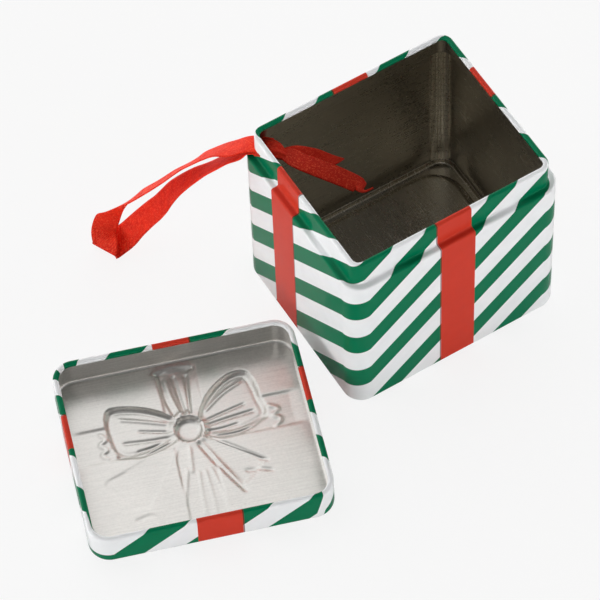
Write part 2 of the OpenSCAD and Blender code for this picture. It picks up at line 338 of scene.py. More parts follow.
# Ribbon. Rows are [out, along, up, twist, share of the width] from the slot's corner, in
# millimetres and degrees, the same as the model's own route.
ribbon = {
    "width": 7, "thickness": 0.3, "step": 0.6, "across": 12,
    "loop": [
        [-4.5, 0, 55.7, 0, 0.8], [1.2, 0, 55.2, 0, 0.8], [3.2, -1, 53.2, 8, 0.87], [6, -1, 50.4, 16, 0.94],
        [9, -1.2, 47.2, 17, 1], [12, -1.2, 43.8, 16, 1], [15, -1.2, 40.2, 10, 1], [18, -1, 36.5, 1, 1],
        [21, -1, 32.4, -8, 1], [24, -1, 27.5, -20, 1], [26, -1.2, 23.5, -27, 1], [28.1, -1.2, 19.5, -30, 1],
        [30.4, -0.9, 15.6, -34, 1], [34.1, -1.1, 9.5, -42, 1], [37.1, -2.2, 5, (0.7, 0.65, 0.3), 1.05],
        [40, -3.7, 2.4, (0.86, 0.45, 0.2), 1.1], [41.9, -4.9, 1.2, (0.93, 0.36, 0), 1.15],
        [42.7, -6.3, 1.8, (0.93, 0.36, 0), 1.15], [42.5, -5.4, 3.2, (0.94, 0.33, 0), 1.12],
        [43, -4.2, 4.6, (0.97, 0.1, 0), 1.05], [43.4, -2.8, 6.4, (0.95, -0.3, 0), 1],
        [42.9, -1.8, 9, (0.95, -0.3, 0), 1], [41.8, -1, 12, (0.85, -0.45, 0.1), 1],
        [39.6, -1.1, 15.6, (0.6, -0.72, 0.33), 1], [36.8, -1.3, 19.3, (0.5, -0.8, 0.3), 1],
        [34, -1.2, 23, 156, 1], [29, -0.8, 28.7, 156, 1], [24.5, -0.2, 34, 156, 1],
        [21, 0.2, 38, 151, 1], [18.5, 0.4, 41, 150, 1],
        [16, 0.4, 44.2, 154, 1], [13, 0.4, 47.3, 154, 1], [9.5, 0.3, 50.5, 156, 1], [6, -0.3, 53, 168, 0.94],
        [1.2, 0, 56, 176, 0.8], [-4.5, 0, 56.4, 180, 0.8]],
    "leftTail": [
        [-8, -1.1, 56.2, 0, 0.45], [-10, -0.8, 56, 5, 0.68], [-12.3, -0.3, 55.2, 8, 0.8],
        [-16.7, 1.1, 53, 10, 0.8], [-20.4, 2.6, 51.7, 10, 0.42], [-23, 4.1, 51, 10, 0.04]],
    "rightTail": [
        [-8, -1.3, 56.9, 0, 0.5], [-10.3, -2.2, 57.2, 0, 0.7], [-13, -3.1, 57, 0, 0.76],
        [-18.3, -3, 55, 0, 0.8], [-23.5, -2.6, 52.5, 0, 0.8], [-27.7, -2.4, 50.3, 0, 0.76],
        [-28.6, -2.7, 50, 0, 0.66],
        [-29.4, -3.7, 49.7, 0, 0.26], [-30.5, -3.7, 49.5, 0, 0.08], [-32.2, -2.2, 49.5, 0, 0.05]],
    # Knot: [out, along, up, half its width, half its thickness], gathered to a waist between the
    # slot and the tails
    "knot": [
        [-0.8, -0.6, 56, 2.9, 0.5], [-2.7, -0.8, 56.6, 3, 0.9], [-5.1, -1.2, 56.9, 2.9, 1.3],
        [-6.9, -1.5, 56.8, 2.2, 1.4], [-8.2, -1.6, 56.4, 1.5, 1.2], [-9.4, -1.5, 56.2, 1.7, 0.9]],
    "knotSteps": 6, "knotTurn": 5, "knotWeave": (0.6, 0.2),
    "pleats": 7, "pleatDepth": 0.16, "pleatTwist": 0.15,
}
slotOut = np.array([-1, 1, 0]) / sqrt(2)
slotAlong = np.array([1, 1, 0]) / sqrt(2)
slotAt = (np.array([tin["corner"] - tin["width"] / 2, tin["depth"] / 2 - tin["corner"], 0])
          + (tin["corner"] - tin["neckIn"]) * slotOut)


def slotPlace(out, along, up):
    return out[..., None] * slotOut + along[..., None] * slotAlong + up[..., None] * np.array([0, 0, 1])


def smoothRows(rows, lengths):
    # Points through rows of numbers, one for each step of the ribbon
    padded = np.vstack([2 * rows[0] - rows[1], rows, 2 * rows[-1] - rows[-2]])
    fine = []
    for i, length in enumerate(lengths):
        steps = max(1, round(length / ribbon["step"]))
        fine += [spline(padded[i:i + 4], t) for t in np.arange(steps) / steps]
    return np.array(fine + [rows[-1]])


def ribbonRings(rows):
    # Smooth rings through a route's rows: centre, way across the ribbon, and way out of its face.
    # A row's twist turns the ribbon from the slot's own line; three numbers give the way itself.
    places = slotAt + slotPlace(*np.array([row[:3] for row in rows], float).T)
    tangents = unit(np.gradient(places, axis=0))
    ways = []
    for row, tangent in zip(rows, tangents):
        if isinstance(row[3], tuple):
            ways.append(unit(slotPlace(*np.array(row[3], float))))
        else:
            flat = unit(slotAlong - (tangent @ slotAlong) * tangent)
            ways.append(flat * cos(radians(row[3])) + np.cross(tangent, flat) * sin(radians(row[3])))
    shares = np.array([row[4] for row in rows], float)[:, None]
    fine = smoothRows(np.hstack([places, ways, shares]), pathSteps(places))
    centre, across, share = fine[:, :3], fine[:, 3:6], fine[:, 6:]
    tangent = unit(np.gradient(centre, axis=0))
    across = unit(across - np.sum(across * tangent, axis=1, keepdims=True) * tangent)
    return centre, across * share, np.cross(tangent, across)


def stripTree():
    # Lays a woven strip along rings whose way across and way out are stored on the points
    tree, start = newGroup(
        "wovenStrip", "Strip", ("Rings", "Geometry", None), ("Ring Count", "Int", 2),
        ("Columns", "Int", 3), ("Width", "Float", 0.006), ("Length", "Float", 0.1),
        ("Cup", "Float", 0.0), ("Finish", "Material", None))
    grid, row, _ = addGrid(tree, start["Ring Count"], start["Columns"])
    grid.inputs["Size X"].default_value = 1
    grid.inputs["Size Y"].default_value = 1
    place = addNode(tree, "GeometryNodeInputPosition").outputs[0]
    side = separate(tree, place)[1]
    centre, across, outward = (sampled(tree, start["Rings"], field, row)
                               for field in (place, stored(tree, "across"), stored(tree, "outward")))
    flat = vectorCalc(tree, "SCALE", across, scale=calc(tree, "MULTIPLY", side, start["Width"]))
    rise = calc(tree, "MULTIPLY", calc(tree, "MULTIPLY", side, side), 4)  # 1 at both edges
    lift = vectorCalc(tree, "SCALE", outward, scale=calc(tree, "MULTIPLY", rise, start["Cup"]))
    spot = vectorCalc(tree, "ADD", vectorCalc(tree, "ADD", centre, flat), lift)
    laid = movePoints(tree, grid.outputs["Mesh"], spot)
    lengths = addNode(tree, "ShaderNodeCombineXYZ", start["Length"], start["Width"]).outputs[0]
    weave = vectorCalc(tree, "MULTIPLY", grid.outputs["UV Map"], lengths)
    kept = keepField(tree, laid, "weave", "FLOAT2", "CORNER", weave)
    real = addNode(tree, "GeometryNodeRealizeInstances", kept).outputs[0]
    addNode(tree, "NodeGroupOutput", paintFaces(tree, real, start["Finish"]))
    return tree


# Satin. Pitches are millimetres on the ribbon; the shares weigh what makes up its height and colour.
satinWeave = {
    "slant": 0.8, "twill": 0.62, "thread": 0.5, "threadShare": 0.35, "fleck": 1.9, "fleckShare": 2.5,
    "cloud": 0.45, "cloudShare": 1.6, "heightShare": 0.3, "light": (0.7, 1.7), "bright": (0.54, 0.64),
    # The last colour is a painted glint, mixed in where the fleck noise lies above the bright edges
    "dark": (0.74, 0.015, 0.006), "pale": (1, 0.052, 0.02), "spark": (1.0, 0.2, 0.09),
    "rough": 0.45, "gloss": 0.08, "bump": (0.5, 0.03),
}


def satinMaterial(name, paintedShade, paintedGlintShare):
    # Twill lines run slantwise along the ribbon. Painted glints: a bright colour mixed in here and there
    # stands for threads catching the light
    own = satinWeave
    material, tree, shader = newMaterial(name)
    weave = separate(tree, addNode(tree, "ShaderNodeUVMap", uv_map="weave").outputs[0])
    along, across = (calc(tree, "MULTIPLY", weave[i], 1 / mm) for i in (0, 1))
    slanted = weighted(tree, (along, 1), (across, own["slant"]))
    twill, threads = (calc(tree, "SINE", calc(tree, "MULTIPLY", place, 2 * pi / own[pitch]))
                      for place, pitch in ((slanted, "twill"), (across, "thread")))
    where = addNode(tree, "ShaderNodeCombineXYZ", along, across).outputs[0]
    fleck = noise(tree, where, own["fleck"], 1)
    cloud = noise(tree, where, own["cloud"], 2)
    height = weighted(tree, (twill, 1), (threads, own["threadShare"]), (fleck, own["fleckShare"]))
    # The colour goes from dark to pale with the weave's height, which is painted sheen on the twill, and with
    # clouds, which give a tone that differs at random
    lit = weighted(tree, (height, own["heightShare"]), (cloud, own["cloudShare"]))
    light = remap(tree, lit, own["light"], (0, 1))
    # Painted shade: every colour is darkened by the shade factor, which is below 1 for ribbon lying in the
    # tin's shadow
    dark, pale = (tuple(paintedShade * value for value in own[tone]) for tone in ("dark", "pale"))
    # Painted glints: the bright colour is mixed in where the fleck noise is high, more on some copies than on
    # others
    bright = calc(tree, "MULTIPLY", remap(tree, fleck, own["bright"], (0, 1)), paintedGlintShare)
    colour = mixColour(tree, bright, mixColour(tree, light, dark, pale), own["spark"])
    addBump(tree, shader, height, *own["bump"])
    setShader(tree, shader, BaseColor=colour, Roughness=own["rough"], SpecularIORLevel=own["gloss"])
    return material


def makeStrip(name, rows, tree, material, cup=0.0):
    centre, across, outward = ribbonRings(rows)
    links = [(i, i + 1) for i in range(len(centre) - 1)]
    piece = growPiece(
        name, centre, links, {"across": across, "outward": outward}, tree,
        RingCount=len(centre), Columns=ribbon["across"] + 1, Width=ribbon["width"] * mm,
        Length=float(pathSteps(centre).sum()) * mm, Cup=cup * mm, Finish=material)
    thick = piece.modifiers.new("cloth thickness", "SOLIDIFY")
    thick.thickness = ribbon["thickness"] * mm
    thick.offset = 0
    applyModifiers(piece)
    smoothFaces(piece)
    return piece, centre


def makeKnot(material):
    # A closed gathered roll: rings round its middle line, pleated most at the waist
    rows = np.array(ribbon["knot"], float)
    fine = smoothRows(rows, np.full(len(rows) - 1, ribbon["knotSteps"] * ribbon["step"]))
    turns = np.radians(np.arange(0, 360, ribbon["knotTurn"]))
    tangent = unit(np.gradient(slotPlace(*fine[:, :3].T), axis=0))
    points = []
    for row, way in zip(fine, tangent):
        flat = unit(slotAlong - (way @ slotAlong) * way)
        waves = np.cos(ribbon["pleats"] * turns + ribbon["pleatTwist"] * row[0]) ** 3
        pleat = ribbon["pleatDepth"] * min(1, row[4]) * waves
        wide, thick = (row[3] + pleat) * np.cos(turns), (row[4] + pleat) * np.sin(turns)
        middle = slotAt + slotPlace(*row[:3])
        points.append(middle + wide[:, None] * flat + thick[:, None] * np.cross(way, flat))
    count = len(turns)
    points, faces = loftRings(points)
    faces += capFaces(points, count)
    piece = makePiece("ribbonKnot", points, faces, "tin", material)
    weave = piece.data.uv_layers.new(name="weave")
    along, around = ribbon["knotWeave"]
    spots = [(j // count * along, j % count * around) for face in faces for j in face]
    weave.data.foreach_set("uv", (np.array(spots) * mm).ravel())
    return piece


# Painted shade: the tails and the knot lie in the tin's shadow, so their satin is a copy darkened to 0.68 and
# 0.62; the loop's satin is not darkened
satin = satinMaterial("redSatin", 1.0, 0.25)
tailSatinPaintedShade = satinMaterial("tailSatinPaintedShade", 0.68, 0.15)
paintedShadeGlintSatin = satinMaterial("paintedShadeGlintSatin", 0.62, 0.3)
strip = stripTree()
loop, loopPath = makeStrip("ribbonLoop", ribbon["loop"], strip, satin)
leftTail, _ = makeStrip("ribbonTailLeft", ribbon["leftTail"], strip, tailSatinPaintedShade)
rightTail, _ = makeStrip("ribbonTailRight", ribbon["rightTail"], strip, paintedShadeGlintSatin, cup=-0.2)
knot = makeKnot(tailSatinPaintedShade)
for piece, node in zip((loop, leftTail, rightTail, knot), ("loop", "tail_left", "tail_right", "knot")):
    settle(piece, "satin_ribbon", "ribbon_" + node)
print("stage: ribbon laid")


# Tin wall. One tree sweeps the sheet's section round a rounded rectangle.
def sectionOfWall(o):
    t, f = tin, tin["footRadius"]
    bend, rim = t["shoulder"] / 2, t["rimCurl"] / 2
    turn = t["height"] - t["neckHeight"]
    return np.vstack([
        [[t["flange"], o]],
        arc([f, f], f - o, 270, 180, t["bendSteps"]),
        arc([bend, turn], bend - o, 180, 90, t["bendSteps"]),
        arc([t["neckIn"] - bend, turn + t["shoulder"]], bend + o, 270, 360, t["bendSteps"]),
        arc([t["neckIn"] + rim, t["height"] - rim], rim - o, 180, -90, t["rimSteps"])])


def roundedRail(width, depth, radius, cornerShare, cornerSteps, sideSteps):
    # Places, ways in and printed distances round a rounded rectangle, from the back right
    # corner counterclockwise; the distance is nothing at the middle of the front
    places, ways, spans = [], [], []
    for quarter in range(4):
        turn = np.radians(90 * quarter)
        spin = np.array([[cos(turn), -sin(turn)], [sin(turn), cos(turn)]])
        along, across = (width, depth) if quarter % 2 == 0 else (depth, width)
        centre = np.array([along / 2 - radius, across / 2 - radius])
        for angle in np.radians(np.linspace(0, 90, cornerSteps + 1)):
            way = np.array([cos(angle), sin(angle)])
            places.append(spin @ (centre + radius * way))
            ways.append(spin @ -way)
            spans.append(cornerShare * radius * pi / 2 / cornerSteps)
        spans[-1] = (along - 2 * radius) / sideSteps
        for share in np.arange(1, sideSteps) / sideSteps:
            places.append(spin @ np.array([centre[0] * (1 - 2 * share), across / 2]))
            ways.append(spin @ np.array([0, -1]))
            spans.append(spans[-1])
    shift = cornerSteps // 2
    count = len(places)
    order = [(shift + i) % count for i in range(count + 1)]
    places, ways = np.array(places)[order], np.array(ways)[order]
    steps = np.array(spans)[order][:-1]
    distance = np.concatenate([[0], np.cumsum(steps)])
    atFront = next(i for i in range(count + 1) if abs(places[i][0]) < 1e-6 and places[i][1] < 0)
    return places, ways, distance - distance[atFront]


def sweepTree():
    # Sweeps a section round a rail. Both are points of the piece's own mesh: the rail's first,
    # with their ways in, then the section's, whose x is the distance in and z the height.
    tree, start = newGroup(
        "rolledSheet", "Sheet", ("Lines", "Geometry", None), ("Rail Count", "Int", 2),
        ("Section Count", "Int", 2), ("Join", "Float", 0.000005), ("Outside", "Material", None),
        ("Inside", "Material", None))
    grid, onRail, spot = addGrid(tree, start["Rail Count"], start["Section Count"])
    onSection = calc(tree, "ADD", spot, start["Rail Count"])
    lines = start["Lines"]
    place = addNode(tree, "GeometryNodeInputPosition").outputs[0]
    section = separate(tree, sampled(tree, lines, place, onSection))
    inward = vectorCalc(tree, "SCALE", sampled(tree, lines, stored(tree, "inward"), onRail), scale=section[0])
    height = addNode(tree, "ShaderNodeCombineXYZ", None, None, section[2]).outputs[0]
    foot = vectorCalc(tree, "ADD", sampled(tree, lines, place, onRail), inward)
    swept = vectorCalc(tree, "ADD", foot, height)
    around, up = (sampled(tree, lines, stored(tree, "along", "FLOAT"), index, "FLOAT")
                  for index in (onRail, onSection))
    printed = addNode(tree, "ShaderNodeCombineXYZ", around, up).outputs[0]
    sheet = keepField(tree, grid.outputs["Mesh"], "onSheet", "FLOAT_VECTOR", "POINT", printed)
    side = sampled(tree, lines, stored(tree, "side", "FLOAT"), onSection, "FLOAT")
    sheet = movePoints(tree, keepField(tree, sheet, "side", "FLOAT", "POINT", side), swept)
    sheet = keepField(tree, sheet, "print", "FLOAT2", "CORNER", stored(tree, "onSheet"))
    sheet = paintFaces(tree, sheet, start["Outside"])
    # Inside are the faces with more than one of their four corners on the inner line
    inner = calc(tree, "GREATER_THAN", stored(tree, "side", "FLOAT"), 0.25)
    weld = addNode(tree, "GeometryNodeMergeByDistance", paintFaces(tree, sheet, start["Inside"], inner))
    wire(tree, weld.inputs["Distance"], start["Join"])
    real = addNode(tree, "GeometryNodeRealizeInstances", weld.outputs[0]).outputs[0]
    addNode(tree, "NodeGroupOutput", real)
    return tree


def sweptSheet(name, rail, outer, inner, tree, outside, inside):
    # A sheet piece from a rail and the two faces of its section
    places, ways, around = rail
    loopOfSection = np.vstack([outer, inner[::-1], outer[:1]])
    lengths = np.concatenate([[0], np.cumsum(pathSteps(loopOfSection))])
    flatStart = int(np.argmin(np.abs(outer[:, 0]) + np.abs(outer[:, 1] - tin["footRadius"])))
    lengths = lengths - lengths[flatStart] + outer[flatStart, 1]
    side = np.array([0] * len(outer) + [1] * len(inner) + [0.0])
    upright = np.column_stack([loopOfSection[:, 0], np.zeros(len(loopOfSection)), loopOfSection[:, 1]])
    points = np.vstack([np.column_stack([places, np.zeros(len(places))]), upright])
    inward = np.zeros((len(points), 3))
    inward[:len(ways), :2] = ways
    fields = {"inward": inward, "along": np.concatenate([around, lengths]) * mm,
              "side": np.concatenate([np.zeros(len(places)), side])}
    piece = growPiece(name, points, [], fields, tree, RailCount=len(places), SectionCount=len(loopOfSection),
                      Outside=outside, Inside=inside)
    smoothFaces(piece)
    return piece


# Printed stripes and bands, in millimetres. Stripes rise to the right on every side.
printing = {
    "rise": 0.84, "period": 16.0, "periodsAdded": 64, "start": -23.1, "greenShare": 0.48, "stripeSoft": 0.012,
    "cornerShare": 0.30, "bandHalf": 5.2, "sideBand": 6.7, "frontBand": (-5.2, 5.2), "backBand": (-5.2, 5.2),
    "bandSoft": 0.12, "edgeLine": 0.35, "lineShare": 0.8, "lineSide": -1,
    "white": (0.92, 0.93, 0.94), "green": (0.001, 0.175, 0.076), "red": (0.64, 0.048, 0.026),
    "line": (0.16, 0.008, 0.006), "mottle": 260, "tone": (0.94, 1.04),
    "fine": 900, "rough": (0.14, 0.26), "bump": (0.25, 0.02), "gloss": 0.06, "coat": 0.05, "coatRough": 0.06,
}


def placeOnPiece(tree, turn=0, centre=(0, 0, 0)):
    # Place on the object, measured from a centre and turned about z
    coordinates = tree.nodes.new("ShaderNodeTexCoord").outputs["Object"]
    where = addNode(tree, "ShaderNodeMapping", coordinates, vector_type="TEXTURE")
    where.inputs["Location"].default_value = [value * mm for value in centre]
    where.inputs["Rotation"].default_value = (0, 0, radians(turn))
    return where.outputs[0]


def printMaterial(name, centre=(0, 0, 0), turn=0, **changes):
    own = {**printing, **changes}
    material, tree, shader = newMaterial(name)
    sheet = separate(tree, addNode(tree, "ShaderNodeUVMap", uv_map="print").outputs[0])
    around, along = (calc(tree, "MULTIPLY", sheet[i], 1 / mm) for i in (0, 1))
    rise = calc(tree, "SUBTRACT", calc(tree, "MULTIPLY", around, own["rise"]), along)
    stripes = calc(tree, "DIVIDE", calc(tree, "SUBTRACT", rise, own["start"]), own["period"])
    # Whole periods are added, so that no place on the sheet is below zero
    share = calc(tree, "FRACT", calc(tree, "ADD", stripes, own["periodsAdded"]))
    green = band(tree, share, 0, own["greenShare"], own["stripeSoft"])
    # Bands and the dark lines at their edges, from the place on the object
    where = placeOnPiece(tree, turn, centre)
    x, y = separate(tree, where)[:2]
    atFront = calc(tree, "LESS_THAN", y, 0)
    sideways = calc(tree, "SUBTRACT", y, own["sideBand"] * mm)
    bands, lines = [], []
    atBack = calc(tree, "SUBTRACT", 1, atFront)
    for field, edges, half in ((x, own["frontBand"], atFront), (x, own["backBand"], atBack),
                               (sideways, (-own["bandHalf"], own["bandHalf"]), None)):
        low, high = edges
        line = (low - own["edgeLine"], low) if own["lineSide"] < 0 else (high, high + own["edgeLine"])
        for found, ends in ((bands, edges), (lines, line)):
            strip = band(tree, field, ends[0] * mm, ends[1] * mm, own["bandSoft"] * mm)
            found.append(strip if half is None else calc(tree, "MULTIPLY", strip, half))
    colour = mixColour(tree, green, own["white"], own["green"])
    colour = mixColour(tree, joined(tree, "MAXIMUM", bands), colour, own["red"])
    dark = calc(tree, "MULTIPLY", joined(tree, "MAXIMUM", lines), own["lineShare"])
    colour = mixColour(tree, dark, colour, own["line"])
    tone = remap(tree, noise(tree, where, own["mottle"], 3), (0, 1), own["tone"])
    fine = noise(tree, where, own["fine"], 2)
    addBump(tree, shader, fine, *own["bump"])
    setShader(tree, shader, BaseColor=mixColour(tree, 1, colour, tone, "MULTIPLY"),
              Roughness=remap(tree, fine, (0, 1), own["rough"]), SpecularIORLevel=own["gloss"],
              CoatWeight=own["coat"], CoatRoughness=own["coatRough"])
    return material


# Bare tinplate: the weights of its streaks, specks and clouds, and what they change
plate = {
    "streaks": 0.5, "speck": 1600, "specks": 0.25, "cloud": 60, "clouds": 0.25, "spread": (0.35, 0.65),
    "tone": (0.82, 1.1), "roughSpread": 0.07, "bump": (0.35, 0.02),
}


def tinplate(name, colour, rough, grain, turn=0):
    # Rolled tinplate; grain is the streaks' stretch along x, y and z
    material, tree, shader = newMaterial(name)
    where = placeOnPiece(tree, turn)
    stretch = addNode(tree, "ShaderNodeMapping", where)
    stretch.inputs["Scale"].default_value = grain
    streaks = noise(tree, stretch.outputs[0], 1, 6, 0.7)
    specks, clouds = noise(tree, where, plate["speck"], 3), noise(tree, where, plate["cloud"], 4)
    mixed = weighted(tree, (streaks, plate["streaks"]), (specks, plate["specks"]), (clouds, plate["clouds"]))
    tone = remap(tree, mixed, plate["spread"], plate["tone"])
    uneven = (rough - plate["roughSpread"], rough + plate["roughSpread"])
    addBump(tree, shader, streaks, *plate["bump"])
    setShader(tree, shader, BaseColor=mixColour(tree, 1, colour, tone, "MULTIPLY"), Metallic=1,
              Roughness=remap(tree, mixed, plate["spread"], uneven))
    return material


wallPrint = printMaterial("stripedLacquer")
innerTin = tinplate("insideTinplate", (0.46, 0.43, 0.37), 0.3, (120, 120, 2600))
slotHole = {"width": 6.5, "height": 2, "drop": 6, "reach": 8, "endSteps": 12}
rimSlit = {"width": 0.6, "deep": 1.8, "turn": 62, "over": 1}


def cutWith(piece, points, faces):
    mesh = bpy.data.meshes.new("cutter")
    mesh.from_pydata((np.asarray(points) * mm).tolist(), [], faces)
    cutter = addObject("cutter", mesh)
    cut = piece.modifiers.new("cut", "BOOLEAN")
    cut.object = cutter
    cut.operation = "DIFFERENCE"
    cut.solver = "EXACT"
    bpy.context.view_layer.update()
    applyModifiers(piece)
    bpy.data.objects.remove(cutter)


def prism(outline, start, way, length):
    # Closed prism: an outline of points pushed along a way
    outline = np.asarray(outline) + start
    count = len(outline)
    points = np.vstack([outline, outline + np.asarray(way) * length])
    faces = [tuple(range(count))[::-1], tuple(range(count, 2 * count))]
    faces += [(i, (i + 1) % count, count + (i + 1) % count, count + i) for i in range(count)]
    return points, faces


rail = roundedRail(tin["width"], tin["depth"], tin["corner"], printing["cornerShare"], tin["cornerSteps"],
                   tin["sideSteps"])
wall = sweptSheet("tinWall", rail, sectionOfWall(0), sectionOfWall(tin["sheet"]), sweepTree(), wallPrint,
                  innerTin)
sideways, back = tin["width"] / 2 - tin["corner"], tin["depth"] / 2 - tin["corner"]
slotCorner = np.array([-sideways, back, tin["height"] - slotHole["drop"]])
halfSlot = (slotHole["width"] - slotHole["height"]) / 2
ends = [arc([side * halfSlot, 0], slotHole["height"] / 2, start, start + 180, slotHole["endSteps"])
        for side, start in ((1, -90), (-1, 90))]
outline = [x * slotAlong + np.array([0, 0, z]) for x, z in np.vstack(ends)]
cutWith(wall, *prism(outline, slotCorner, slotOut, slotHole["reach"]))
seamCorner = np.array([sideways, back, 0])
way = np.array([cos(radians(rimSlit["turn"])), sin(radians(rimSlit["turn"])), 0])
side = np.array([-way[1], way[0], 0]) * rimSlit["width"] / 2
low, high = tin["height"] - rimSlit["deep"], tin["height"] + rimSlit["over"]
outline = [side + [0, 0, low], -side + [0, 0, low], -side + [0, 0, high], side + [0, 0, high]]
cutWith(wall, *prism(outline, seamCorner, way, tin["corner"]))
settle(wall, "printed_tinplate", "tin_wall")
print("stage: tin wall")

# Side seam: two folds of the sheet with ribs rolled into them, inside the back right corner
seamTin = tinplate("seamTinplate", (0.78, 0.74, 0.65), 0.3, (120, 120, 2600))
seam = {
    "width": 5.7, "turn": 62, "ribs": 4, "foldShare": 0.72, "foot": 2.8, "top": 53.2,
    "ribHeight": 0.3, "ribHalf": 0.32, "sunk": 0.12, "steps": 96,
}


def makeSeam():
    inner = tin["corner"] - tin["sheet"]
    arcs = np.linspace(-seam["width"] / 2, seam["width"] / 2, seam["steps"] + 1)
    fold = seam["width"] * seam["foldShare"] / 2
    pitch = 2 * fold / (seam["ribs"] + 1)
    depth = np.where(np.abs(arcs) < fold, 2, 1) * tin["sheet"]
    for i in range(seam["ribs"]):
        off = arcs - pitch * (i + 1 - (seam["ribs"] + 1) / 2)
        rib = seam["ribHeight"] * np.sqrt(np.clip(1 - (off / seam["ribHalf"]) ** 2, 0, 1))
        depth = np.maximum(depth, 2 * tin["sheet"] + rib)
    depth[[0, -1]] = 0
    angles = np.radians(seam["turn"]) + arcs / inner
    around = np.column_stack([np.cos(angles), np.sin(angles)])
    inside, back = around * (inner - depth)[:, None], (around * (inner + seam["sunk"]))[::-1]
    outline = np.column_stack([np.vstack([back, inside]), np.zeros(2 * len(arcs))])
    points, faces = prism(outline, seamCorner + [0, 0, seam["foot"]], [0, 0, 1], seam["top"] - seam["foot"])
    return makePiece("wallSeam", points, faces, "tin", seamTin, smooth=False)


settle(makeSeam(), "printed_tinplate")
print("stage: side seam")

# Base plate: upturned lip, flat groove and raised panel
base = {"lip": 2.2, "groove": 1, "rise": 1.6, "gap": 0.05, "panelCorner": 10, "sideSteps": 6, "bendSteps": 6}
baseTin = tinplate("baseTinplate", (0.62, 0.58, 0.5), 0.25, (2200, 120, 120))


def sectionsOfBase(o):
    # The lip and the start of its floor, then the step up to the panel, each from its own outline
    t, f = tin["sheet"], tin["footRadius"]
    lipIn = t + base["gap"]
    step, edge, up = 2 * t, 4 * t, t + base["rise"]
    panelIn = up + (step + t + edge) * (sqrt(2) - 1)
    lip = np.vstack([
        [[lipIn + o, t + base["lip"]]],
        arc([lipIn + f, t + f], f - o, 180, 270, tin["bendSteps"])])
    rise = np.vstack([
        [[0, t + o]],
        arc([t, 2 * t + step], step + t - o, 270, 315, base["bendSteps"]),
        arc([panelIn, up - edge], edge + o, 135, 90, tin["bendSteps"]),
        [[panelIn + t, up + o]]])
    return lip, rise


def makeBase():
    stepIn = base["gap"] + tin["footRadius"] + base["groove"]
    outlines = [roundedRail(tin["width"] - 2 * inset, tin["depth"] - 2 * inset, corner, 1, tin["cornerSteps"],
                            base["sideSteps"])
                for inset, corner in ((0, tin["corner"]), (stepIn, base["panelCorner"]))]
    under, over = [], []
    for depth, faces in ((0, under), (tin["sheet"], over)):
        for (places, ways, _), section in zip(outlines, sectionsOfBase(depth)):
            faces += [np.column_stack([places[:-1] + ways[:-1] * d, np.full(len(places) - 1, z)])
                      for d, z in section]
    rings = under[::-1] + over
    points, faces = loftRings(rings)
    faces += capFaces(points, len(rings[0]))
    return makePiece("basePlate", points, faces, "tin", baseTin)


settle(makeBase(), "bare_tinplate", "tin_base")
print("stage: base plate")

# Lid. It lies upside down on its pressed bow, so its panel is below and its skirt rises.
lid = {
    "width": 65.8, "depth": 56.8, "corner": 5.8, "height": 10.85, "sheet": 0.3, "edge": 1.2, "curl": 1.6,
    "place": (-75.92, -17.1, 0), "turn": -18.7, "panelUp": 1.8, "rings": 72,
    "cornerSteps": 24, "sideSteps": 88, "edgeSteps": 6, "curlSteps": 20, "fade": 9,
    # Places along the edge and the print's own distances there: drawing the sides shifted the print
    "drawn": [(-149.3, -180), (-132.9, -171.9), (-122, -160.9), (-111.1, -149.9), (-100.7, -138.8),
              (-92.4, -127.8), (-88, -116.8), (-85.5, -105.8), (-82.1, -94.8), (-77, -83.8),
              (-57.8, -50.7), (-47.9, -39.8), (-40.3, -28.7), (-27.1, -27.1), (27.1, 27.1), (29.5, 38.5),
              (41.8, 48.3), (48.8, 59.4), (55.8, 70.3), (70.4, 92.4), (77.9, 103.5), (86, 110)],
}
